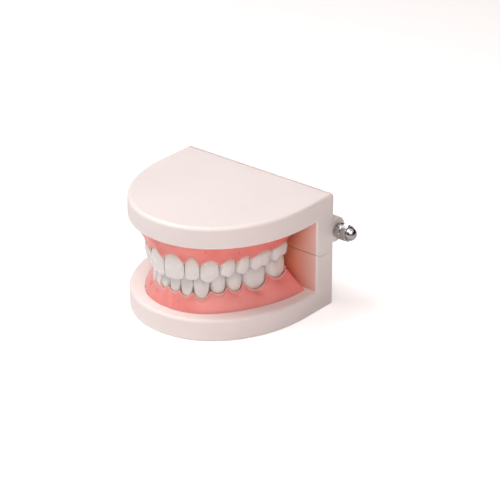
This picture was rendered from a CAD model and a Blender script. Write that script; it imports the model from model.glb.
"""Looks of the hinged dental study model: two cast plates, gum arches, 28 teeth and a rod hinge.

Lengths are in millimetres in this script and turned to metres when a mesh is made.
Axes are the frame's: X along the hinge, -Y to the front teeth, +Z up.
"""

import math

import bmesh
import bpy
import numpy as np
from mathutils import Matrix, Vector


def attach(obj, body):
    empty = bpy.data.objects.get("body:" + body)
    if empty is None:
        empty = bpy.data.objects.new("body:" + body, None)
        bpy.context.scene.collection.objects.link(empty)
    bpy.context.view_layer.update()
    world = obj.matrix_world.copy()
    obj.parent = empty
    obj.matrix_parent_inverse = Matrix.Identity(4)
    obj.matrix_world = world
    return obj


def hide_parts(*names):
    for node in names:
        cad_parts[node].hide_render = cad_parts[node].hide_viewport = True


MM = 0.001
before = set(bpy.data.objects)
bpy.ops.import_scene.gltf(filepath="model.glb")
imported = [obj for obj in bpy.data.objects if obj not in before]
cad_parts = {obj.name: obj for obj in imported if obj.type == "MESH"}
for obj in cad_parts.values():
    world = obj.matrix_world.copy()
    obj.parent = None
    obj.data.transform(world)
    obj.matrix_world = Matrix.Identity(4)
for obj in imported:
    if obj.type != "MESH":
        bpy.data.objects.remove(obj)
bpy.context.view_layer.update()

# ------------------------------------------------------------------ sizes shared with the CAD
BASE_HALF = 40.0
REAR_Y = 33.5
INNER_Y = 22.5
PLATE_T = 9.8
TOP_Z = 42.2
BASE_H = 52.0
SIDE_L = 17.7
PLATE_POWER = 2.07
SEAM_Z = 27.0
SEAM_GAP = 0.3
FOOT_SAG = 1.5
FOOT_Y = 28.0
FOOT_R = 10.83
FOOT_Z = SEAM_Z - FOOT_SAG + FOOT_R
HINGE_Y = 35.9
HINGE_Z = 34.2
KNUCKLE_R = 5.6
TONGUE_HALF = 12.0
LUG_IN = 28.0
ROD_R = 2.0
BORE_R = 2.05
ROD_END = 47.4
SPRING_IN = 40.05
SPRING_OUT = 41.15
SPACER_OUT = 43.75
HEX_OUT = 46.45
NUT_TIP = 49.9
NECK_DEPTH = 1.8
TOOTH_GAP = -0.2


# ------------------------------------------------------------------ mesh helpers
def new_object(name, points, faces, smooth=True):
    """A mesh object from points in millimetres, with its faces turned outwards."""
    mesh = bpy.data.meshes.new(name)
    mesh.from_pydata([tuple(float(c) * MM for c in p) for p in points], [], faces)
    work = bmesh.new()
    work.from_mesh(mesh)
    bmesh.ops.remove_doubles(work, verts=work.verts, dist=1e-7)
    bmesh.ops.recalc_face_normals(work, faces=work.faces)
    work.to_mesh(mesh)
    work.free()
    mesh.polygons.foreach_set("use_smooth", [smooth] * len(mesh.polygons))
    obj = bpy.data.objects.new(name, mesh)
    bpy.context.scene.collection.objects.link(obj)
    return obj


def ring_faces(rings, count, closed=True):
    """Quads between consecutive rings of count points."""
    faces = []
    steps = count if closed else count - 1
    for ring in range(rings - 1):
        for k in range(steps):
            after = (k + 1) % count
            a = ring * count + k
            b = ring * count + after
            faces.append((a, b, b + count, a + count))
    return faces


def boolean(obj, tool, operation):
    """Joins tool to obj's mesh or cuts it away, and deletes tool."""
    step = obj.modifiers.new("cut", "BOOLEAN")
    step.operation = operation
    step.solver = "EXACT"
    step.object = tool
    graph = bpy.context.evaluated_depsgraph_get()
    mesh = bpy.data.meshes.new_from_object(obj.evaluated_get(graph))
    obj.modifiers.remove(step)
    old = obj.data
    obj.data = mesh
    bpy.data.meshes.remove(old)
    tool_mesh = tool.data
    bpy.data.objects.remove(tool)
    bpy.data.meshes.remove(tool_mesh)


def sharpen(obj, degrees):
    """Smooth shading that breaks at edges sharper than the angle."""
    obj.data.polygons.foreach_set("use_smooth", [True] * len(obj.data.polygons))
    obj.data.set_sharp_from_angle(angle=math.radians(degrees))


def round_corners(corners, steps=6):
    """A closed outline from corners (x, y, radius), each rounded by an arc."""
    points = []
    count = len(corners)
    for k in range(count):
        x, y, radius = corners[k]
        here = np.array([x, y])
        if radius == 0:
            points.append(here)
            continue
        before = np.array(corners[k - 1][:2]) - here
        after = np.array(corners[(k + 1) % count][:2]) - here
        before = before / np.linalg.norm(before)
        after = after / np.linalg.norm(after)
        half_angle = math.acos(float(np.clip(before @ after, -1, 1))) / 2
        middle = (before + after) / np.linalg.norm(before + after)
        centre = here + middle * radius / math.sin(half_angle)
        start = here + before * radius / math.tan(half_angle) - centre
        turn = math.pi - 2 * half_angle
        if before[0] * after[1] - before[1] * after[0] > 0:
            turn = -turn
        for n in range(steps + 1):
            a = turn * n / steps
            points.append(centre + np.array([
                start[0] * math.cos(a) - start[1] * math.sin(a),
                start[0] * math.sin(a) + start[1] * math.cos(a)]))
    return np.array(points)


def inset(outline, distance):
    """The closed outline moved inwards."""
    ahead = np.roll(outline, -1, axis=0) - outline
    ahead = ahead / np.linalg.norm(ahead, axis=1)[:, None]
    area = np.sum(outline[:, 0] * np.roll(outline[:, 1], -1) - np.roll(outline[:, 0], -1) * outline[:, 1])
    inward = np.stack([-ahead[:, 1], ahead[:, 0]], axis=1) * np.sign(area)
    behind = np.roll(inward, 1, axis=0)
    miter = (inward + behind) / (1 + np.sum(inward * behind, axis=1))[:, None]
    return outline + miter * distance


def rounded_prism(name, outline, low, high, r_low, r_high, axis, steps=5):
    """The outline extruded along Z or X, with both ends rounded."""
    levels = []
    for n in range(steps + 1):
        a = math.pi / 2 * n / steps
        levels.append((low + r_low * (1 - math.cos(a)), r_low * (1 - math.sin(a))))
    for n in range(steps, -1, -1):
        a = math.pi / 2 * n / steps
        levels.append((high - r_high * (1 - math.cos(a)), r_high * (1 - math.sin(a))))
    points = []
    for place, distance in levels:
        for u, v in inset(outline, distance):
            points.append((u, v, place) if axis == "Z" else (place, u, v))
    count = len(outline)
    faces = ring_faces(len(levels), count)
    faces.append(tuple(range(count)))
    faces.append(tuple(range((len(levels) - 1) * count, len(levels) * count)))
    return new_object(name, points, faces)


def circle_x(x, radii, from_top=False):
    """A ring of points about the hinge axis at x, with one radius for each point."""
    points = []
    for k, radius in enumerate(radii):
        a = 2 * math.pi * k / len(radii)
        across, up = math.cos(a), math.sin(a)
        if from_top:
            across, up = up, across
        points.append((x, HINGE_Y + radius * across, HINGE_Z + radius * up))
    return points


def lathe_x(name, profile, sides=64):
    """A profile of (x, radius) turned about the hinge axis, a tube where it ends as it starts."""
    points = []
    for x, radius in profile:
        points += circle_x(x, [radius] * sides)
    faces = ring_faces(len(profile), sides)
    return new_object(name, points, faces + lathe_ends(profile, sides))


def lathe_ends(profile, sides):
    """The two discs that close a turned profile; a tube has none."""
    last = (len(profile) - 1) * sides
    if profile[0] == profile[-1]:
        return []
    return [tuple(range(sides)), tuple(range(last, last + sides))]


def cylinder_x(name, radius, low, high, edge, sides=96):
    """A cylinder along the hinge axis with rounded rims."""
    rim = [(low + edge * (1 - math.cos(math.pi / 2 * n / 4)),
            radius - edge * (1 - math.sin(math.pi / 2 * n / 4))) for n in range(5)]
    profile = rim + [(high - (x - low), r) for x, r in reversed(rim)]
    return lathe_x(name, profile, sides=sides)


# ------------------------------------------------------------------ bases
def plate_outline():
    """The D shape of a plate, seen from above."""
    corner = 0.6
    corners = [(BASE_HALF, REAR_Y, corner), (-BASE_HALF, REAR_Y, corner)]
    front = []
    for n in range(0, 121):
        a = math.pi + math.pi * n / 120
        side = -1 if math.cos(a) < 0 else 1
        x = BASE_HALF * side * abs(math.cos(a)) ** (2 / PLATE_POWER)
        y = REAR_Y - SIDE_L - (2 * REAR_Y - SIDE_L) * abs(math.sin(a)) ** (2 / PLATE_POWER)
        front.append((x, y, 0))
    return round_corners(corners + front, steps=6)


def wall_block(low, high):
    """A rear wall, a hair narrower than the plate it grows from."""
    hair = 0.012
    x = BASE_HALF - hair
    y = REAR_Y - hair
    corners = [(x, y, 0.6), (-x, y, 0.6), (-x, INNER_Y, 0.8), (x, INNER_Y, 0.8)]
    return rounded_prism("wall", round_corners(corners), low, high, 0, 0, "Z", 1)


def seam_cutter(radius, far_z):
    """Everything from the rounded seam of that radius up or down to far_z."""
    seam = []
    for n in range(33):
        y = INNER_Y - 1 + (REAR_Y - INNER_Y + 2) * n / 32
        seam.append((y, FOOT_Z - math.sqrt(radius ** 2 - (y - FOOT_Y) ** 2), 0))
    corners = [(seam[-1][0], far_z, 0), (seam[0][0], far_z, 0)]
    return rounded_prism("cutter", round_corners(seam + corners), -50, 50, 0, 0, "X", 1)


def lower_base():
    """Lower plate, rear wall with its trough, tongue and middle knuckle."""
    obj = rounded_prism("lower_base_body", plate_outline(), 0, PLATE_T, 1.1, 1.5, "Z")
    wall = wall_block(4, 30)
    boolean(wall, seam_cutter(FOOT_R + 0.22, 40), "DIFFERENCE")
    boolean(obj, wall, "UNION")
    lean = [(INNER_Y - 0.004, 5.0, 0), (REAR_Y - 0.02, 5.0, 0), (REAR_Y - 0.02, HINGE_Z - 0.3, 0),
            (INNER_Y + 5, HINGE_Z - 0.3, 2.5), (INNER_Y - 0.004, 30.0, 2.5)]
    tongue = rounded_prism("tongue", round_corners(lean), -TONGUE_HALF, TONGUE_HALF, 0.6, 0.6, "X")
    boolean(obj, tongue, "UNION")
    knuckle = cylinder_x("knuckle", KNUCKLE_R, -TONGUE_HALF + 0.01, TONGUE_HALF - 0.01, 0.55)
    boolean(obj, knuckle, "UNION")
    boolean(obj, cylinder_x("bore", BORE_R, -20, 20, 0.1, 48), "DIFFERENCE")
    return obj


def upper_base():
    """Upper plate, rear wall with its rounded foot and two end lugs."""
    obj = rounded_prism("upper_base_body", plate_outline(), TOP_Z, BASE_H, 1.2, 1.7, "Z")
    wall = wall_block(23, 48)
    boolean(wall, seam_cutter(FOOT_R + 0.06, 20), "DIFFERENCE")
    boolean(obj, wall, "UNION")
    notch_half = TONGUE_HALF + SEAM_GAP
    notch = [(INNER_Y - 2, SEAM_Z - 6, 0), (REAR_Y + 2, SEAM_Z - 6, 0),
             (REAR_Y + 2, HINGE_Z, 0), (INNER_Y - 2, HINGE_Z, 0)]
    cutter = rounded_prism("notch", round_corners(notch), -notch_half, notch_half, 0, 0, "X", 1)
    boolean(obj, cutter, "DIFFERENCE")
    relief = cylinder_x("relief", KNUCKLE_R + SEAM_GAP, -notch_half, notch_half, 0.01)
    boolean(obj, relief, "DIFFERENCE")
    for side in (-1, 1):
        ends = sorted((side * LUG_IN, side * (BASE_HALF - 0.006)))
        boolean(obj, cylinder_x("lug", KNUCKLE_R, ends[0], ends[1], 0.55), "UNION")
    boolean(obj, cylinder_x("bore", BORE_R, -45, 45, 0.1, 48), "DIFFERENCE")
    return obj


# ------------------------------------------------------------------ dental arches
class Arch:
    """The contact line of an arch: half an ellipse with straight ends."""

    def __init__(self, half_width, depth, y_start):
        self.a = half_width
        self.b = depth
        self.y_start = y_start
        self.t = np.linspace(0, math.pi / 2, 901)
        x = half_width * np.sin(self.t)
        y = y_start - depth * np.cos(self.t)
        steps = np.hypot(np.diff(x), np.diff(y))
        self.length = np.concatenate([[0], np.cumsum(steps)])

    def at(self, s):
        """Points and outward directions at signed distances s from the midline."""
        s = np.asarray(s, float)
        far = np.abs(s)
        t = np.interp(far, self.length, self.t)
        side = np.where(s < 0, -1.0, 1.0)
        x = side * self.a * np.sin(t)
        y = self.y_start - self.b * np.cos(t) + np.maximum(0, far - self.length[-1])
        nx = side * np.sin(t) / self.a
        ny = -np.cos(t) / self.b
        size = np.hypot(nx, ny)
        return np.stack([x, y], -1), np.stack([nx / size, ny / size], -1)


INCISOR, CANINE, PREMOLAR, MOLAR = range(4)


class Jaw:
    """One arch with its teeth: [name, width, tip height, margin height, kind]."""

    def __init__(self, upper, arch, teeth, papillae):
        self.upper = upper
        self.arch = arch
        self.teeth = teeth
        self.papillae = papillae
        self.sign = -1.0 if upper else 1.0
        self.plate = TOP_Z if upper else PLATE_T
        edges = np.concatenate([[0], np.cumsum([t[1] for t in teeth])])
        self.edges = edges
        self.middles = (edges[1:] + edges[:-1]) / 2
        self.end = edges[-1] + 0.9

    def margin(self, s):
        """Height of the gum margin at s, how far s is from the middle of its tooth, and its tooth."""
        far = np.abs(s)
        i = np.clip(np.searchsorted(self.edges, far, side="right") - 1, 0, 6)
        x = far - self.middles[i]
        half = np.array([t[1] for t in self.teeth])[i] / 2
        share = np.clip(np.abs(x) / half, 0, 1)
        base = np.array([t[3] for t in self.teeth])[i]
        tops = np.array(self.papillae)
        papilla = np.where(x < 0, tops[i], tops[i + 1])
        return base + (papilla - base) * share ** (2.2 if self.upper else 1.7), share, i


UPPER = Jaw(True, Arch(25.4, 40, 12.9), [
    ["central_incisor", 8.5, 24.1, 36.2, INCISOR],
    ["lateral_incisor", 5.9, 24.5, 35.2, INCISOR],
    ["canine", 7.9, 23.0, 33.9, CANINE],
    ["first_premolar", 7.2, 24.7, 33.2, PREMOLAR],
    ["second_premolar", 6.3, 24.4, 33.2, PREMOLAR],
    ["first_molar", 10.8, 24.6, 33.1, MOLAR],
    ["second_molar", 10.4, 25.2, 32.9, MOLAR]],
    [32.4, 32.0, 31.0, 30.4, 30.5, 30.8, 31.0, 32.4])
LOWER = Jaw(False, Arch(22.3, 40.6, 16.5), [
    ["central_incisor", 4.6, 26.9, 17.3, INCISOR],
    ["lateral_incisor", 4.9, 26.7, 15.9, INCISOR],
    ["canine", 6.6, 26.4, 14.9, CANINE],
    ["first_premolar", 6.8, 26.2, 16.8, PREMOLAR],
    ["second_premolar", 7.3, 25.7, 16.3, PREMOLAR],
    ["first_molar", 11.8, 26.0, 14.9, MOLAR],
    ["second_molar", 11.8, 26.4, 16.0, MOLAR]],
    [19.0, 18.3, 18.0, 18.2, 18.7, 18.8, 19.5, 18.5])


# ------------------------------------------------------------------ teeth
def soft_max(a, b, k):
    """The larger of a and b, blended over k."""
    return k * np.logaddexp(a / k, b / k)


def soft_min(a, b, k):
    """The smaller of a and b, blended over k."""
    return -soft_max(-a, -b, k)


def crown_keys(kind, upper):
    """From the neck to the rim: height share, half width share, facial and lingual reach."""
    if kind == INCISOR:
        if upper:
            return [[0, 0.9, 2.2, 3.4], [0.12, 0.96, 2.6, 3.3], [0.4, 1, 2.5, 1.6],
                    [0.72, 1, 1.95, 0.2], [0.93, 0.94, 1.4, -0.15], [1, 0.84, 1.1, -0.32]]
        return [[0, 0.82, 2.1, 2.7], [0.14, 0.9, 2.5, 2.7], [0.4, 0.99, 2.1, 1.6],
                [0.72, 1, 1.5, 0.2], [0.93, 0.97, 1.0, -0.15], [1, 0.9, 0.8, -0.3]]
    if kind == CANINE:
        return [[0, 0.82, 2.7, 4.0], [0.14, 0.91, 3.1, 4.0], [0.4, 0.99, 3.1, 2.6],
                [0.66, 1, 2.6, 1.2], [0.88, 0.87, 1.85, 0.4], [1, 0.68, 1.35, 0.1]]
    if kind == PREMOLAR:
        return [[0, 0.82, 3.0, 4.4], [0.16, 0.91, 3.5, 4.9], [0.42, 0.99, 3.5, 5.1],
                [0.66, 1, 3.1, 4.9], [0.85, 0.92, 2.6, 4.4], [1, 0.8, 2.1, 3.9]]
    return [[0, 0.86, 3.6, 5.2], [0.16, 0.94, 4.2, 5.7], [0.42, 1, 4.0, 5.9],
            [0.66, 1, 3.7, 5.7], [0.85, 0.93, 3.2, 5.2], [1, 0.84, 2.7, 4.7]]


# How square a crown's outline is across and along the arch, by kind
RING_POWER = {INCISOR: (2.6, 3.3), CANINE: (2.3, 2.9), PREMOLAR: (2.4, 3.0), MOLAR: (2.8, 3.4)}


def along_keys(keys, h):
    """Smooth curve through the keys at height shares h: half width, facial and lingual."""
    table = np.array(keys, float)
    at = table[:, 0]
    h = np.clip(h, at[0], at[-1])
    k = np.clip(np.searchsorted(at, h, side="right") - 1, 0, len(at) - 2)
    slopes = np.gradient(table[:, 1:], at, axis=0)
    span = (at[k + 1] - at[k])[..., None]
    u = (h - at[k])[..., None] / span
    y0 = table[k, 1:]
    y1 = table[k + 1, 1:]
    m0 = slopes[k] * span
    m1 = slopes[k + 1] * span
    curve = (y0 * (1 + 2 * u) * (1 - u) ** 2 + m0 * u * (1 - u) ** 2
             + y1 * u * u * (3 - 2 * u) + m1 * u * u * (u - 1))
    return curve[..., 0], curve[..., 1], curve[..., 2]


def ridges_height(x, y, ridges, slope, crown_r=0.55, k=0.1):
    """Height of a biting surface made of ridges (x0, y0, z0, x1, y1, z1)."""
    best = None
    for x0, y0, z0, x1, y1, z1 in ridges:
        dx = x1 - x0
        dy = y1 - y0
        t = np.clip(((x - x0) * dx + (y - y0) * dy) / (dx * dx + dy * dy), 0, 1)
        away = np.hypot(x - x0 - t * dx, y - y0 - t * dy)
        z = z0 + t * (z1 - z0) - slope * (np.sqrt(away ** 2 + crown_r ** 2) - crown_r)
        best = z if best is None else soft_max(best, z, k)
    return best - 0.12


def cusp_lines(upper, i):
    """Ridges of a back tooth's biting surface, as pairs of points.

    x runs to the mesial side as a share of the half width; y runs to the cheek, in millimetres.
    """
    if i < 5:
        tongue_z = -0.7 if upper else (-1.7 if i == 3 else -1.0)
        c = (0.05, 1.25, 0.0)
        t = (0.12, -2.75, tongue_z)
        m1 = (0.82, 0.9, -1.35)
        m2 = (0.74, -1.9, -1.6)
        d1 = (-0.82, 0.8, -1.4)
        d2 = (-0.74, -1.9, -1.65)
        pit = (0, -0.75, -1.95)
        lines = [(c, m1), (c, d1), (t, m2), (t, d2), (m1, m2), (d1, d2),
                 (c, (0, -0.2, -1.75)), (t, pit)]
        return lines
    if upper:
        drop = 0.35 if i == 6 else 0.0
        mb = (0.46, 1.65, 0.0)
        db = (-0.42, 1.5, -0.3 - drop)
        ml = (0.36, -3.3, -0.35)
        dl = (-0.5, -3.0, -0.95 - drop)
        m1 = (0.84, 0.9, -1.4)
        m2 = (0.8, -2.4, -1.5)
        d1 = (-0.84, 0.7, -1.6)
        d2 = (-0.82, -2.0, -1.8)
        low = (-0.02, -0.9, -1.55)
        pit = (0.25, -0.7, -2.1)
        lines = [(mb, m1), (mb, (0.03, 1.5, -1.15)), (db, (0.03, 1.5, -1.15)), (db, d1),
                 (ml, m2), (ml, (-0.1, -3.1, -1.2)), (dl, (-0.1, -3.1, -1.3)), (dl, d2),
                 (m1, m2), (d1, d2), (mb, pit), (ml, low), (low, db)]
        return lines
    mb = (0.52, 1.6, -0.05)
    db = (-0.08, 1.65, -0.15) if i == 5 else (-0.45, 1.55, -0.2)
    ml = (0.45, -3.4, 0.0)
    dl = (-0.38, -3.3, -0.2)
    d = (-0.66, 0.9, -0.6)
    m1 = (0.86, 0.7, -1.3)
    m2 = (0.82, -2.3, -1.35)
    d1 = (-0.86, -0.4, -1.5)
    d2 = (-0.8, -2.2, -1.5)
    lines = [(mb, m1), (mb, (0.24, 1.55, -1.05)), (db, (0.24, 1.55, -1.05)),
             (ml, m2), (ml, (0.02, -3.2, -1.1)), (dl, (0.02, -3.2, -1.1)), (dl, d2),
             (m1, m2), (d1, d2), (mb, (0.3, -0.6, -1.9)), (ml, (0.28, -1.3, -1.9)),
             (db, (-0.1, -0.7, -1.9)), (dl, (-0.25, -1.4, -1.9))]
    if i == 5:
        lines += [(db, (-0.38, 1.3, -1.0)), (d, (-0.38, 1.3, -1.0)), (d, d1),
                  (d, (-0.45, -0.6, -1.8))]
    else:
        lines += [(db, (-0.84, 0.7, -1.4)), ((-0.84, 0.7, -1.4), d1)]
    return lines


def cusp_ridges(half, upper, i):
    """The ridges of a back tooth at its own width, for ridges_height."""
    return [(a[0] * half, a[1], a[2], b[0] * half, b[1], b[2]) for a, b in cusp_lines(upper, i)]


def biting_height(kind, upper, i, half, height, x, y):
    """Height of the biting edge or surface; x runs to the mesial side."""
    if kind == INCISOR:
        far = np.abs(x) / half
        corner = np.where(x > 0, 0.9 * far ** 3.2, (2.1 if upper else 0.8) * far ** 2.8)
        lobes = (0.03 if upper else 0.06) * np.cos(x / half * 2.2 * math.pi)
        return height - 0.05 - corner + lobes
    if kind == CANINE:
        tip = 0.1 * half
        away = np.sqrt((x - tip) ** 2 + 0.3) - math.sqrt(0.3)
        fall = np.where(x > tip, 0.72, 0.85)
        return height - fall * away - 0.15 * np.abs(y - 0.9) ** 1.5
    return height + ridges_height(x, y, cusp_ridges(half, upper, i), 0.85 if kind == MOLAR else 0.8)


def bell(value, middle, width):
    """A smooth hump, 1 at the middle."""
    return np.exp(-((value - middle) / width) ** 2)


def crown_detail(kind, upper, i, half, x, h, facial_side):
    """How far the crown's surface stands out of the plain loft, in millimetres."""
    u = x / half
    low = np.clip((h - 0.3) / 0.4, 0, 1)
    if kind == INCISOR:
        grooves = bell(u, 0.36, 0.16) + bell(u, -0.3, 0.16)
        face = -0.13 * grooves * low
        dish = bell(h, 0.62, 0.22) * np.clip(1 - (u / 0.72) ** 2, 0, 1)
        back = -0.55 * dish if upper else -0.3 * dish
        return np.where(facial_side > 0, face, back) * np.abs(facial_side) ** 0.5
    if kind == CANINE:
        ridge = 0.28 * bell(u, 0.1, 0.3) * np.sin(np.clip(h, 0, 1) * math.pi) ** 0.7
        grooves = -0.14 * (bell(u, 0.58, 0.15) + bell(u, -0.46, 0.15)) * low
        back = 0.2 * bell(u, 0, 0.25) * low - 0.2 * bell(np.abs(u), 0.4, 0.2) * low
        return np.where(facial_side > 0, ridge + grooves, back) * np.abs(facial_side) ** 0.5
    if kind == PREMOLAR:
        ridge = 0.2 * bell(u, 0.05, 0.3) * np.sin(np.clip(h, 0, 1) * math.pi)
        grooves = -0.12 * (bell(u, 0.5, 0.16) + bell(u, -0.45, 0.16)) * low
        return np.where(facial_side > 0, ridge + grooves, 0) * np.abs(facial_side) ** 0.5
    if upper:
        lines = [(0.03, 0.42)]
        inner = -0.1
    else:
        lines = [(0.24, 0.34), (-0.38, 0.26)] if i == 5 else [(0.03, 0.38)]
        inner = 0.02
    face = sum(-depth * bell(u, at, 0.13) for at, depth in lines)
    back = -0.3 * bell(u, inner, 0.14)
    return np.where(facial_side > 0, face, back) * np.clip((h - 0.34) / 0.4, 0, 1) * np.abs(facial_side)


# Points around a crown, and the height shares and widths of its rings
AROUND = 40
LEVELS = [0, 0.06, 0.13, 0.21, 0.3, 0.4, 0.5, 0.6, 0.69, 0.77, 0.84, 0.9, 0.95, 1.0]
CAP = [0.93, 0.84, 0.74, 0.63, 0.52, 0.41, 0.3, 0.19, 0.09]


def tooth(jaw, i, right):
    """One tooth in its place: a lofted crown with its biting surface and a neck in the gum."""
    name, width, tip, margin, kind = jaw.teeth[i]
    height = abs(margin - tip)
    half = (width - TOOTH_GAP) / 2
    power = RING_POWER[kind]
    angle = 2 * math.pi * np.arange(AROUND) / AROUND
    cos_p = np.sign(np.cos(angle)) * np.abs(np.cos(angle)) ** (2 / power[0])
    sin_p = np.sign(np.sin(angle)) * np.abs(np.sin(angle)) ** (2 / power[1])
    keys = crown_keys(kind, jaw.upper)
    rings = []
    for z, shrink in ((-NECK_DEPTH, 0.93), (-1.2, 0.97), (-0.5, 0.99)):
        wide, facial, lingual = along_keys(keys, np.array(0.0))
        x = half * wide * shrink * cos_p
        y = (facial - lingual) / 2 + (facial + lingual) / 2 * shrink * sin_p
        rings.append(np.stack([x, y, np.full_like(x, z)], -1))
    for h in LEVELS:
        wide, facial, lingual = along_keys(keys, np.array(h))
        x = half * wide * cos_p
        y = (facial - lingual) / 2 + (facial + lingual) / 2 * sin_p
        out = crown_detail(kind, jaw.upper, i, half, x, h, sin_p)
        y = y + out * np.sign(sin_p)
        z = soft_min(h * height, biting_height(kind, jaw.upper, i, half, height, x, y), 0.1)
        rings.append(np.stack([x, y, z], -1))
    rim = rings[-1]
    centre_y = (rim[:, 1].max() + rim[:, 1].min()) / 2
    for share in CAP + [0.0]:
        x = rim[:, 0] * share
        y = centre_y + (rim[:, 1] - centre_y) * share
        z = soft_min(height, biting_height(kind, jaw.upper, i, half, height, x, y), 0.1)
        rings.append(np.stack([x, y, z], -1))
    top = rings.pop()[0]
    local = np.concatenate(rings + [top[None, :]])
    faces = ring_faces(len(rings), AROUND)
    faces.append(tuple(range(AROUND)))
    last = (len(rings) - 1) * AROUND
    for k in range(AROUND):
        faces.append((last + k, last + (k + 1) % AROUND, len(local) - 1))
    s = (-1 if right else 1) * jaw.middles[i]
    place, out = jaw.arch.at(s)
    along = np.array([out[1], -out[0]]) * (-1 if right else 1)
    world = np.empty_like(local)
    world[:, :2] = place + local[:, :1] * along + local[:, 1:2] * out
    world[:, 2] = margin + jaw.sign * local[:, 2]
    side = "right" if right else "left"
    level = "upper" if jaw.upper else "lower"
    node = f"{level}_{side}_{name}"
    obj = new_object(node + "_crown", world, faces)
    share = obj.data.attributes.new("height_share", "FLOAT", "POINT")
    climbs = [jaw.sign * (v.co.z / MM - margin) for v in obj.data.vertices]
    share.data.foreach_set("value", [max(0.0, climb) / height for climb in climbs])
    finer = obj.modifiers.new("finer", "SUBSURF")
    finer.levels = 1
    finer.render_levels = 1
    return node, obj


# ------------------------------------------------------------------ gums
STATION_STEP = 0.36
END_ROUND = 0.9


def lookup(s, table):
    """Straight-line lookup of a distance from the midline."""
    rows = np.array(table, float)
    return np.interp(np.abs(s), rows[:, 0], rows[:, 1])


FOOT_REACH = {
    True: [[0, 4.2], [6.6, 5.2], [14, 6.4], [28, 7.2], [42, 8.8], [57, 11.2]],
    False: [[0, 3.8], [5.5, 4.7], [11.8, 6.4], [23.6, 8.4], [37, 10.8], [46, 12.2], [52, 12.6]]}
BACK_REACH = [[0, 3.8], [18, 4.6], [26, 5.4], [40, 6.3]]


def smooth_table(s, table, width=2.2):
    """The lookup with its corners rounded."""
    offsets = np.linspace(-1.5, 1.5, 13) * width
    weights = np.exp(-np.linspace(-1.5, 1.5, 13) ** 2 * 1.5)
    total = sum(w * lookup(np.abs(s + o), table) for o, w in zip(offsets, weights))
    return total / weights.sum()


def tooth_reach(jaw, s, z, back):
    """Distance from the contact line to the surface of the nearest tooth at height z."""
    points, normals = jaw.arch.at(s)
    best = np.full(len(s), -9.0)
    for i, (_, width, tip, margin, kind) in enumerate(jaw.teeth):
        keys = crown_keys(kind, jaw.upper)
        height = abs(margin - tip)
        share = np.clip(jaw.sign * (z - margin) / height, 0, 1)
        wide, facial, lingual = along_keys(keys, share)
        half = (width - TOOTH_GAP) / 2 * wide
        middle = (facial - lingual) / 2
        deep = (facial + lingual) / 2
        power = RING_POWER[kind]
        for side in (-1, 1):
            place, out = jaw.arch.at(side * jaw.middles[i])
            along = np.array([out[1], -out[0]])
            r = np.where(back, -lingual, facial)
            near = np.abs(s - side * jaw.middles[i]) < width
            for _ in range(6):
                spot = points + normals * r[:, None] - place
                x = spot @ along
                y = spot @ out
                inside = np.clip(1 - np.abs(x / half) ** power[0], 0, None)
                edge = middle + (-1 if back else 1) * deep * inside ** (1 / power[1])
                r = r + (edge - y)
            spot = points + normals * r[:, None] - place
            hit = near & (np.abs(spot @ along) < half * 0.995)
            best = np.where(hit, np.maximum(best, -r if back else r), best)
    return best


def blur(values):
    """The values along the arch with their fast changes taken out."""
    weights = np.exp(-np.linspace(-2, 2, 33) ** 2)
    padded = np.concatenate([np.full(16, values[0]), values, np.full(16, values[-1])])
    return np.convolve(padded, weights / weights.sum(), "valid")


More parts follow.
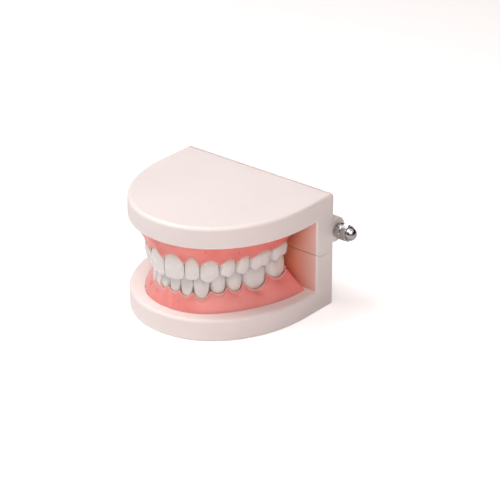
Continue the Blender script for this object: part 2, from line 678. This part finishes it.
def gum_section(jaw, s):
    """Cross sections at stations s: points (distance out, height above the plate)."""
    z, share, i = jaw.margin(s)
    high = np.abs(z - jaw.plate)
    front = np.clip(1 - np.abs(s) / 20, 0, 1)
    foot = smooth_table(s, FOOT_REACH[jaw.upper])
    back_foot = -(smooth_table(s, BACK_REACH) + (2.6 if jaw.upper else 3.4))
    rear = np.clip((np.abs(s) - 12) / 6, 0, 1)
    gap = 0.03 if jaw.upper else 0.02 + 0.3 * rear
    lip = 0.66 if jaw.upper else 0.62
    between = 1.8 if jaw.upper else 1.8 + 0.4 * rear
    face = soft_max(tooth_reach(jaw, s, z, False) + gap, between, 0.25)
    back = -soft_max(tooth_reach(jaw, s, z, True) + gap, 1.6, 0.25)
    calm = blur(face)
    tooth_z = np.array([t[3] for t in jaw.teeth])[i]
    neck = np.abs(tooth_z - jaw.plate) - 1.5
    t = np.clip((share - 0.4) / 0.55, 0, 1)
    floor = neck + (high - 0.35 - neck) * t * t * (3 - 2 * t)
    swell = np.cos(np.clip(share, 0, 1) * math.pi)
    if jaw.upper:
        strength = 0.16 + 0.1 * front
    else:
        strength = 0.05 + 0.36 * np.clip(1 - np.abs(s) / 11, 0, 1)
    rows = []
    # Facial flank: an even slope along the arch, joined to the scalloped margin near its top
    top_r = face + lip
    top_z = high - 0.5
    rim_r = calm + lip
    rim_z = blur(top_z)
    flare = foot - rim_r
    shares = np.linspace(0, 1, 101)
    climb = 0.9 * shares * (1 - shares) ** 2 + 2.1 * shares ** 2 * (1 - shares) + shares ** 3
    for v in np.linspace(0, 1, 21)[:-1]:
        zz = top_z * v
        u = np.interp(zz / rim_z, climb, shares)
        p1 = foot - 0.16 * flare
        p2 = rim_r + (0.12 if jaw.upper else 0.16) * flare
        slope = foot * (1 - u) ** 3 + 3 * p1 * u * (1 - u) ** 2 + 3 * p2 * u * u * (1 - u) + rim_r * u ** 3
        slope = slope - 0.3 * np.maximum(0, zz - rim_z)
        join = np.clip(1 - (top_z - zz) / 1.7, 0, 1)
        join = join * join * (3 - 2 * join)
        wave = math.sin(math.pi * min(1.0, v * 1.08)) ** 0.8
        rows.append((slope * (1 - join) + top_r * join + strength * swell * wave, zz))
    # Rolled margin
    for n in range(7):
        a = math.pi * n / 6
        middle = top_r - lip / 2
        rows.append((middle + lip / 2 * math.cos(a), top_z + 0.5 * max(0, math.sin(a)) ** 0.8))
    # Sulcus, floor under the tooth, and the lingual side of the sulcus
    deep = np.maximum(floor, 0.5)
    wall = deep * 0.35 + (high - 0.6) * 0.65
    rows.append((face - 0.05, wall))
    rows.append((face - 0.12, deep))
    rows.append((face * 0.4 + back * 0.6, deep))
    rows.append((back + 0.12, deep))
    rows.append((back + 0.05, wall))
    inner_r = back - lip
    for n in range(7):
        a = math.pi * n / 6
        middle = inner_r + lip / 2
        rows.append((middle + lip / 2 * math.cos(a), top_z + 0.5 * max(0, math.sin(a)) ** 0.8))
    base = 2.75 if jaw.upper else 0.0
    fall = inner_r - back_foot
    for v in np.linspace(0, 1, 12)[1:]:
        ease = v * v * (3 - 2 * v) if jaw.upper else v
        r = inner_r - fall * (0.45 * v + 0.55 * v * v)
        zz = top_z + (base - top_z) * (0.55 * ease + 0.45 * v)
        wave = math.sin(math.pi * v)
        rows.append((r - 0.5 * strength * swell * wave, zz))
    rs = np.array([row[0] for row in rows])
    zs = np.array([row[1] for row in rows])
    return rs, zs


def inset_ends(jaw, s, rs, zs):
    """Rounds the rear ends of the gum: the last sections shrink inwards along their normals."""
    t = np.clip((np.abs(s) - (jaw.end - END_ROUND)) / END_ROUND, 0, 1)
    d = END_ROUND * (1 - np.sqrt(np.clip(1 - t * t, 0, 1)))
    dr = np.gradient(rs, axis=0)
    dz = np.gradient(zs, axis=0)
    size = np.hypot(dr, dz) + 1e-9
    nr = -dz / size
    nz = dr / size
    keep = np.clip(zs / 1.2, 0, 1)
    rs = rs + d * nr * keep
    zs = zs + d * nz * keep
    return rs, np.maximum(zs, 0)


def gum(jaw):
    """A gum arch as one closed mesh: scalloped margins, root swellings and, above, the palate."""
    straight = jaw.end - END_ROUND
    fine = np.linspace(0, straight, int(straight / STATION_STEP))
    tail = straight + END_ROUND * np.sin(np.linspace(0, math.pi / 2, 7))[1:]
    half = np.concatenate([fine, tail])
    s = np.concatenate([-half[:0:-1], half])
    rs, zs = gum_section(jaw, s)
    rs, zs = inset_ends(jaw, s, rs, zs)
    rows, count = rs.shape
    points, normals = jaw.arch.at(s)
    xy = points[None, :, :] + normals[None, :, :] * rs[:, :, None]
    z = jaw.plate + jaw.sign * zs
    z[0] = jaw.plate - jaw.sign * 0.01
    if not jaw.upper:
        z[-1] = jaw.plate - jaw.sign * 0.01
    verts = []
    for k in range(count):
        for n in range(rows):
            verts.append((xy[n, k, 0], xy[n, k, 1], z[n, k]))
    faces = ring_faces(count, rows, closed=not jaw.upper)
    level = "upper" if jaw.upper else "lower"
    if jaw.upper:
        add_palate(verts, faces, rows, count, z[0, 0])
    else:
        faces.append(tuple(range(rows)))
        faces.append(tuple((count - 1) * rows + n for n in range(rows)))
    obj = new_object(level + "_gum_arch", verts, faces)
    sharpen(obj, 50)
    paint_gum(jaw, obj)
    return obj


def palate_point(p, u):
    """One point of the roof of the mouth: folds near the front and a low ridge in the middle."""
    side = 2 * u - 1
    edge = np.clip(4 * u * (1 - u), 0, 1)
    vault = 0.35 * edge ** 0.7
    raphe = 0.22 * math.exp(-(p[0] / 0.9) ** 2) * min(1.0, edge * 2)
    depth = p[1] - 1.6 * abs(side) ** 1.4
    rear = np.clip((4 - p[1]) / 5, 0, 1) * np.clip((p[1] + 22) / 3, 0, 1)
    fold = math.cos(2 * math.pi * (depth + 0.6 * math.sin(p[0] * 0.55)) / 3.1)
    clear = 1 - math.exp(-(p[0] / 1.6) ** 2)
    rugae = 0.3 * max(0.0, fold) * rear * clear * min(1.0, edge * 2.2)
    return (p[0], p[1], p[2] + vault - raphe - rugae)


def add_palate(verts, faces, rows, count, plate_z):
    """Adds the roof of the mouth between the sides of the upper gum, and closes the gum behind."""
    middle = (count - 1) // 2
    across = 22
    grid = {}
    for row in range(middle + 1):
        left = (middle + row) * rows + rows - 1
        right = (middle - row) * rows + rows - 1
        line = [left]
        if row > 0:
            a = np.array(verts[left])
            b = np.array(verts[right])
            for n in range(1, across):
                u = n / across
                p = a * (1 - u) + b * u
                line.append(len(verts))
                verts.append(palate_point(p, u))
            line.append(right)
        grid[row] = line
    for row in range(middle):
        one = grid[row]
        two = grid[row + 1]
        if row == 0:
            for n in range(across):
                faces.append((one[0], two[n], two[n + 1]))
            continue
        for n in range(across):
            faces.append((one[n], two[n], two[n + 1], one[n + 1]))
    # The palate's rear edge stands on a row of points on the plate
    edge_row = grid[middle]
    base_row = []
    for vert in edge_row:
        base_row.append(len(verts))
        verts.append((verts[vert][0], verts[vert][1], plate_z))
    for n in range(across):
        faces.append((edge_row[n], edge_row[n + 1], base_row[n + 1], base_row[n]))
    left_end = [(count - 1) * rows + n for n in range(rows)]
    right_end = list(range(rows))
    faces.append(tuple(left_end + [base_row[0]]))
    faces.append(tuple(right_end + [base_row[-1]]))
    faces.append(tuple([k * rows for k in range(count)] + base_row))


def paint_gum(jaw, obj):
    """Stores how close each point is to the margin, for the colour of the gum."""
    mask = obj.data.attributes.new("margin_share", "FLOAT", "POINT")
    values = []
    half = np.linspace(-jaw.end, jaw.end, 900)
    line = jaw.arch.at(half)[0]
    heights = jaw.margin(half)[0]
    for vert in obj.data.vertices:
        p = np.array([vert.co.x, vert.co.y]) / MM
        k = int(np.argmin(np.sum((line - p) ** 2, axis=1)))
        below = abs(heights[k] - jaw.plate) - abs(vert.co.z / MM - jaw.plate)
        values.append(float(np.clip(1 - max(0.0, below) / 1.1, 0, 1)))
    mask.data.foreach_set("value", values)


# ------------------------------------------------------------------ hinge hardware
def threaded_rod():
    """The hinge rod with its thread cut along the whole length."""
    pitch = 0.7
    sides = 28
    per_turn = 7
    count = int(2 * (ROD_END - 0.6) / pitch * per_turn)
    xs = np.linspace(-ROD_END + 0.6, ROD_END - 0.6, count)
    points = []
    for x in xs:
        end = min(1.0, (ROD_END - 0.6 - abs(x)) / 0.5 + 0.05)
        radii = []
        for k in range(sides):
            phase = (x / pitch - k / sides) % 1.0
            cut = 0.3 * (1 - abs(2 * phase - 1) * 1.25)
            radii.append(ROD_R - max(0.0, cut) * 1.1 - 0.25 * (1 - end))
        points += circle_x(x, radii)
    faces = ring_faces(count, sides)
    faces.append(tuple(range(sides)))
    faces.append(tuple(range((count - 1) * sides, count * sides)))
    return new_object("hinge_rod_thread", points, faces)


def spring_washer(side):
    """A split ring whose two ends stand slightly apart."""
    name = "spring_washer_left_ring" if side > 0 else "spring_washer_right_ring"
    opening = math.radians(11)
    turn = math.radians(125)
    steps = 72
    low_r = 2.06
    high_r = 3.1
    section = [(0.09, low_r), (0, low_r + 0.09), (0, high_r - 0.09), (0.09, high_r),
               (0.81, high_r), (0.9, high_r - 0.09), (0.9, low_r + 0.09), (0.81, low_r)]
    points = []
    for n in range(steps + 1):
        share = n / steps
        a = turn + opening / 2 + (2 * math.pi - opening) * share
        for x, r in section:
            at = SPRING_IN + 0.02 + x + 0.16 * share
            points.append((side * at, HINGE_Y + r * math.cos(a), HINGE_Z + r * math.sin(a)))
    faces = ring_faces(steps + 1, len(section))
    faces.append(tuple(range(len(section))))
    faces.append(tuple(steps * len(section) + n for n in range(len(section))))
    obj = new_object(name, points, faces)
    sharpen(obj, 35)
    return obj


def spacer(side):
    """A turned round spacer with broken edges."""
    name = "spacer_left_ring" if side > 0 else "spacer_right_ring"
    bore = 2.06
    outer = 3.5
    edge = 0.28
    profile = [(SPRING_OUT, bore + 0.12), (SPRING_OUT, outer - edge), (SPRING_OUT + 0.08, outer - 0.08),
               (SPRING_OUT + edge, outer), (SPACER_OUT - edge, outer), (SPACER_OUT - 0.08, outer - 0.08),
               (SPACER_OUT, outer - edge), (SPACER_OUT, bore + 0.12), (SPACER_OUT - 0.12, bore),
               (SPRING_OUT + 0.12, bore), (SPRING_OUT, bore + 0.12)]
    obj = lathe_x(name, [(side * x, r) for x, r in profile], sides=96)
    sharpen(obj, 32)
    return obj


def hex_radius(flats, share):
    """Distance from the middle to the edge of a hexagon at a share of the full turn."""
    turn = (2 * math.pi * share) % (math.pi / 3) - math.pi / 6
    return flats / 2 / math.cos(turn)


def cap_nut(side):
    """A cap nut: a chamfered hexagon under a turned dome."""
    name = "cap_nut_left_dome" if side > 0 else "cap_nut_right_dome"
    flats = 7.0
    sides = 120
    low = SPACER_OUT
    high = HEX_OUT
    places = [low + 0.45 * n / 8 for n in range(9)] + [high - 0.55 * n / 8 for n in range(8, -1, -1)]
    dome_r = 2.9
    collar = [(high + 0.02, dome_r + 0.12), (high + 0.12, dome_r + 0.02), (NUT_TIP - dome_r, dome_r)]
    for n in range(1, 15):
        a = math.pi / 2 * n / 14
        collar.append((NUT_TIP - dome_r + dome_r * math.sin(a), max(0.02, dome_r * math.cos(a))))
    points = []
    for x in places:
        reach = min(flats / 2 - 0.06 + (x - low) * 1.9, flats / 2 - 0.06 + (high - x) * 1.9)
        radii = [min(hex_radius(flats, k / sides), reach) for k in range(sides)]
        points += circle_x(side * x, radii, True)
    for x, r in collar:
        points += circle_x(side * x, [r] * sides, True)
    start = len(points)
    hole = [(ROD_END + 0.1, 1.0), (ROD_END - 0.3, BORE_R + 0.02), (low, BORE_R + 0.02)]
    for x, r in hole:
        points += circle_x(side * x, [r] * sides, True)
    faces = ring_faces(len(places) + len(collar), sides)
    faces.append(tuple(start - sides + k for k in range(sides)))
    for face in ring_faces(len(hole), sides):
        faces.append(tuple(start + v for v in face))
    faces.append(tuple(start + k for k in range(sides)))
    last = start + 2 * sides
    for k in range(sides):
        after = (k + 1) % sides
        faces.append((k, after, last + after, last + k))
    obj = new_object(name, points, faces)
    sharpen(obj, 28)
    return obj


# ------------------------------------------------------------------ materials
def srgb(r, g, b):
    """A colour from 0 to 255 values, as linear numbers."""
    out = []
    for value in (r, g, b):
        c = value / 255
        out.append(c / 12.92 if c <= 0.04045 else ((c + 0.055) / 1.055) ** 2.4)
    return tuple(out) + (1.0,)


class Finish:
    """A material with helpers for its nodes."""

    def __init__(self, name):
        self.material = bpy.data.materials.new(name)
        self.material.use_nodes = True
        self.nodes = self.material.node_tree.nodes
        self.links = self.material.node_tree.links
        self.shader = self.nodes["Principled BSDF"]
        place = self.nodes.new("ShaderNodeTexCoord")
        self.place = place.outputs["Object"]

    def noise(self, scale, detail=3.0, rough=0.5):
        node = self.nodes.new("ShaderNodeTexNoise")
        node.inputs["Scale"].default_value = scale
        node.inputs["Detail"].default_value = detail
        node.inputs["Roughness"].default_value = rough
        self.links.new(self.place, node.inputs["Vector"])
        return node.outputs["Fac"]

    def ramp(self, value, low, high, out_low, out_high):
        node = self.nodes.new("ShaderNodeMapRange")
        node.inputs["From Min"].default_value = low
        node.inputs["From Max"].default_value = high
        node.inputs["To Min"].default_value = out_low
        node.inputs["To Max"].default_value = out_high
        self.links.new(value, node.inputs["Value"])
        return node.outputs["Result"]

    def blend(self, share, one, two):
        node = self.nodes.new("ShaderNodeMix")
        node.data_type = "RGBA"
        for socket, value in ((node.inputs[0], share), (node.inputs[6], one), (node.inputs[7], two)):
            if isinstance(value, (tuple, list, float)):
                socket.default_value = value
            else:
                self.links.new(value, socket)
        return node.outputs[2]

    def coordinates(self):
        node = self.nodes.new("ShaderNodeSeparateXYZ")
        self.links.new(self.place, node.inputs[0])
        return node.outputs["X"], node.outputs["Y"], node.outputs["Z"]

    def calculate(self, operation, *values):
        node = self.nodes.new("ShaderNodeMath")
        node.operation = operation
        for socket, value in zip(node.inputs, values):
            self.links.new(value, socket)
        return node.outputs[0]

    def times(self, one, two):
        return self.calculate("MULTIPLY", one, two)

    def size_of(self, value):
        return self.calculate("ABSOLUTE", value)

    def attribute(self, name):
        node = self.nodes.new("ShaderNodeAttribute")
        node.attribute_name = name
        return node.outputs["Fac"]

    def bump(self, height, strength, distance, before=None):
        node = self.nodes.new("ShaderNodeBump")
        node.inputs["Strength"].default_value = strength
        node.inputs["Distance"].default_value = distance
        self.links.new(height, node.inputs["Height"])
        if before is not None:
            self.links.new(before, node.inputs["Normal"])
        return node.outputs["Normal"]

    def link(self, value, socket):
        self.links.new(value, self.shader.inputs[socket])

    def clouds(self, scale, one, two):
        """Two close colours in soft clouds."""
        return self.blend(self.ramp(self.noise(scale), 0.35, 0.65, 0, 1), one, two)

    def vary_roughness(self, scale, detail, low, high):
        self.link(self.ramp(self.noise(scale, detail), 0.3, 0.7, low, high), "Roughness")

    def relief(self, *layers):
        """Bumps of (noise scale, detail, strength, distance), from coarse to fine."""
        normal = None
        for scale, detail, strength, distance in layers:
            normal = self.bump(self.noise(scale, detail), strength, distance, normal)
        self.link(normal, "Normal")

    def put(self, socket, value):
        self.shader.inputs[socket].default_value = value


def cast_plastic():
    """Warm white cast plastic with a satin skin, blushed where the rear walls face the gums."""
    finish = Finish("cast_white_plastic")
    colour = finish.clouds(28, srgb(243, 233, 230), srgb(240, 229, 226))
    x, y, z = finish.coordinates()
    inner = finish.times(finish.ramp(y, 0.0223, 0.02245, 0, 1), finish.ramp(y, 0.0226, 0.0231, 1, 0))
    inside = finish.times(finish.ramp(z, 0.0097, 0.0099, 0, 1), finish.ramp(z, 0.0421, 0.0423, 1, 0))
    inner = finish.times(inner, inside)
    far = finish.size_of(x)
    deep = finish.times(finish.ramp(far, 0.026, 0.0385, 1, 0.4), finish.ramp(far, 0.0388, 0.0394, 1, 0))
    colour = finish.blend(finish.times(inner, deep), colour, srgb(241, 146, 112))
    finish.link(colour, "Base Color")
    finish.vary_roughness(160, 4, 0.4, 0.5)
    finish.put("Specular IOR Level", 0.42)
    finish.put("Subsurface Weight", 0.12)
    finish.put("Subsurface Radius", (0.004, 0.0022, 0.0018))
    finish.put("Subsurface Scale", 1.0)
    finish.relief((45, 2, 0.06, 0.0006), (1500, 2, 0.05, 0.00012))
    return finish.material


def gum_plastic():
    """Glossy coral gum, stippled, paler along the margins and in the lower jaw."""
    finish = Finish("coral_gum_plastic")
    base = finish.clouds(110, srgb(252, 140, 131), srgb(248, 127, 119))
    low = finish.ramp(finish.coordinates()[2], 0.018, 0.026, 1, 0)
    base = finish.blend(low, base, srgb(255, 152, 145))
    margin = finish.ramp(finish.attribute("margin_share"), 0.2, 0.8, 0, 0.85)
    colour = finish.blend(margin, base, srgb(253, 190, 182))
    finish.link(colour, "Base Color")
    finish.vary_roughness(300, 3, 0.26, 0.38)
    finish.put("Specular IOR Level", 0.5)
    finish.put("Subsurface Weight", 0.3)
    finish.put("Subsurface Radius", (0.004, 0.0012, 0.0009))
    finish.put("Subsurface Scale", 1.0)
    finish.put("Coat Weight", 0.25)
    finish.put("Coat Roughness", 0.18)
    finish.relief((420, 2, 0.06, 0.0005), (1700, 2, 0.16, 0.00025))
    return finish.material


def tooth_enamel():
    """Warm white enamel, a little deeper at the neck and greyer at the biting edge."""
    finish = Finish("tooth_enamel")
    share = finish.attribute("height_share")
    neck = finish.ramp(share, 0.0, 0.45, 1, 0)
    edge = finish.ramp(share, 0.78, 1.0, 0, 0.5)
    base = finish.clouds(260, srgb(238, 235, 232), srgb(235, 231, 228))
    warm = finish.blend(neck, base, srgb(236, 226, 217))
    colour = finish.blend(edge, warm, srgb(231, 230, 231))
    finish.link(colour, "Base Color")
    finish.vary_roughness(400, 2, 0.2, 0.3)
    finish.put("Specular IOR Level", 0.5)
    finish.put("Subsurface Weight", 0.25)
    finish.put("Subsurface Radius", (0.0016, 0.0011, 0.0009))
    finish.put("Subsurface Scale", 1.0)
    finish.put("Coat Weight", 0.35)
    finish.put("Coat Roughness", 0.1)
    finish.relief((330, 2, 0.12, 0.0005), (2200, 2, 0.06, 0.00015))
    return finish.material


def bright_metal(name, rough, grain):
    """Plated steel: rough sets its polish and grain the strength of its fine marks."""
    finish = Finish(name)
    tone = finish.ramp(finish.noise(700, 3), 0.3, 0.7, 0, 1)
    finish.link(finish.blend(tone, srgb(184, 181, 180), srgb(164, 162, 162)), "Base Color")
    finish.put("Metallic", 1.0)
    finish.vary_roughness(900, 3, rough, rough + 0.1)
    finish.relief((2600, 2, grain, 0.0001))
    return finish.material


def plain_floor():
    """Matt white floor that looks brighter to the camera than it lights the model."""
    finish = Finish("floor_white")
    finish.link(finish.blend(finish.ramp(finish.noise(3, 2), 0.3, 0.7, 0, 1),
                             (0.9, 0.9, 0.9, 1.0), (0.88, 0.88, 0.88, 1.0)), "Base Color")
    finish.put("Roughness", 0.9)
    finish.put("Specular IOR Level", 0.1)
    finish.put("Emission Color", (1.0, 0.93, 0.92, 1.0))
    seen = finish.nodes.new("ShaderNodeLightPath").outputs["Is Camera Ray"]
    finish.link(finish.ramp(seen, 0, 1, 0.08, 0.5), "Emission Strength")
    return finish.material


# ------------------------------------------------------------------ the model
PLASTIC = cast_plastic()
GUM = gum_plastic()
ENAMEL = tooth_enamel()
CHROME = bright_metal("polished_chrome", 0.1, 0.04)
STEEL = bright_metal("rod_steel", 0.24, 0.1)


def place_piece(obj, body, node, material):
    """Gives a piece its material and hands it to the frame in place of its CAD node."""
    obj.data.materials.clear()
    obj.data.materials.append(material)
    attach(obj, body)
    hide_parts(node)


lower_plate = lower_base()
upper_plate = upper_base()
for plate in (lower_plate, upper_plate):
    sharpen(plate, 40)
    even = plate.modifiers.new("even", "WEIGHTED_NORMAL")
    even.keep_sharp = True
place_piece(lower_plate, "lower_jaw", "lower_base", PLASTIC)
place_piece(upper_plate, "upper_jaw", "upper_base", PLASTIC)
for jaw in (LOWER, UPPER):
    level = "upper" if jaw.upper else "lower"
    place_piece(gum(jaw), level + "_jaw", level + "_gum", GUM)
    for right in (False, True):
        for i in range(7):
            node, crown = tooth(jaw, i, right)
            place_piece(crown, level + "_jaw", node, ENAMEL)
place_piece(threaded_rod(), "upper_jaw", "hinge_rod", STEEL)
for side, word in ((1, "left"), (-1, "right")):
    place_piece(spring_washer(side), "upper_jaw", "spring_washer_" + word, STEEL)
    place_piece(spacer(side), "upper_jaw", "spacer_" + word, CHROME)
    place_piece(cap_nut(side), "upper_jaw", "cap_nut_" + word, CHROME)

# ------------------------------------------------------------------ floor, light and camera
floor = new_object("floor", [(-3000, -3000, -0.02), (3000, -3000, -0.02), (3000, 3000, -0.02),
                             (-3000, 3000, -0.02)], [(0, 1, 2, 3)], smooth=False)
floor.data.materials.append(plain_floor())


def area_light(name, position, target, size, power, colour):
    """A soft square lamp pointed at a target, both in millimetres."""
    lamp = bpy.data.lights.new(name, "AREA")
    lamp.shape = "SQUARE"
    lamp.size = size * MM
    lamp.energy = power
    lamp.color = colour
    obj = bpy.data.objects.new(name, lamp)
    bpy.context.scene.collection.objects.link(obj)
    at = Vector(position) * MM
    obj.location = at
    obj.rotation_euler = (Vector(target) * MM - at).to_track_quat("-Z", "Y").to_euler()


area_light("key", (-230, -190, 650), (0, 0, 25), 460, 4.2, (1.0, 1.0, 1.0))
area_light("fill", (360, -290, 520), (0, 0, 20), 640, 2.45, (1.0, 0.9, 0.88))

world = bpy.data.worlds.new("studio")
bpy.context.scene.world = world
world.use_nodes = True
tree = world.node_tree
add = tree.nodes.new
link = tree.links.new
sky = tree.nodes["Background"]
# The studio's own light is weak and warm; the camera sees plain white behind the model
sky.inputs["Color"].default_value = (1.0, 0.86, 0.83, 1.0)
sky.inputs["Strength"].default_value = 0.05
seen = add("ShaderNodeBackground")
seen.inputs["Color"].default_value = (1.0, 1.0, 1.0, 1.0)
seen.inputs["Strength"].default_value = 1.1
# What polished metal reflects: a white room with a dark band around it
gloss = add("ShaderNodeBackground")
way = add("ShaderNodeTexCoord")
parts = add("ShaderNodeSeparateXYZ")
band = add("ShaderNodeValToRGB")
stops = band.color_ramp.elements
stops[0].position = 0.0
stops[0].color = (0.9, 0.88, 0.87, 1.0)
stops[1].position = 1.0
stops[1].color = (1.0, 1.0, 1.0, 1.0)
for position, grey in ((0.03, 0.8), (0.08, 0.01), (0.62, 0.01), (0.72, 1.0)):
    stop = stops.new(position)
    stop.color = (grey, grey, grey, 1.0)
link(way.outputs["Generated"], parts.inputs[0])
link(parts.outputs["Z"], band.inputs["Fac"])
link(band.outputs["Color"], gloss.inputs["Color"])
path = add("ShaderNodeLightPath")
shiny = add("ShaderNodeMixShader")
pick = add("ShaderNodeMixShader")
link(path.outputs["Is Glossy Ray"], shiny.inputs[0])
link(sky.outputs[0], shiny.inputs[1])
link(gloss.outputs[0], shiny.inputs[2])
link(path.outputs["Is Camera Ray"], pick.inputs[0])
link(shiny.outputs[0], pick.inputs[1])
link(seen.outputs[0], pick.inputs[2])
link(pick.outputs[0], tree.nodes["World Output"].inputs["Surface"])

AIM = Vector((0, -1.5, 27))
DISTANCE = 940.6
SHIFT_RIGHT = 17.96
SHIFT_DOWN = 0.68
AZIMUTH = math.radians(39.54)
ELEVATION = math.radians(26.21)
back = Vector((math.sin(AZIMUTH) * math.cos(ELEVATION), -math.cos(AZIMUTH) * math.cos(ELEVATION),
               math.sin(ELEVATION)))
right_way = Vector((math.cos(AZIMUTH), math.sin(AZIMUTH), 0))
up_way = back.cross(right_way)
lens = bpy.data.cameras.new("camera")
lens.lens = 160.5
lens.sensor_width = 36.0
lens.clip_start = 0.01
lens.clip_end = 20.0
camera = bpy.data.objects.new("camera", lens)
bpy.context.scene.collection.objects.link(camera)
camera.matrix_world = Matrix((right_way, up_way, back)).transposed().to_4x4()
camera.location = (AIM + back * DISTANCE + right_way * SHIFT_RIGHT - up_way * SHIFT_DOWN) * MM
bpy.context.scene.camera = camera
bpy.context.scene.view_settings.view_transform = "Standard"
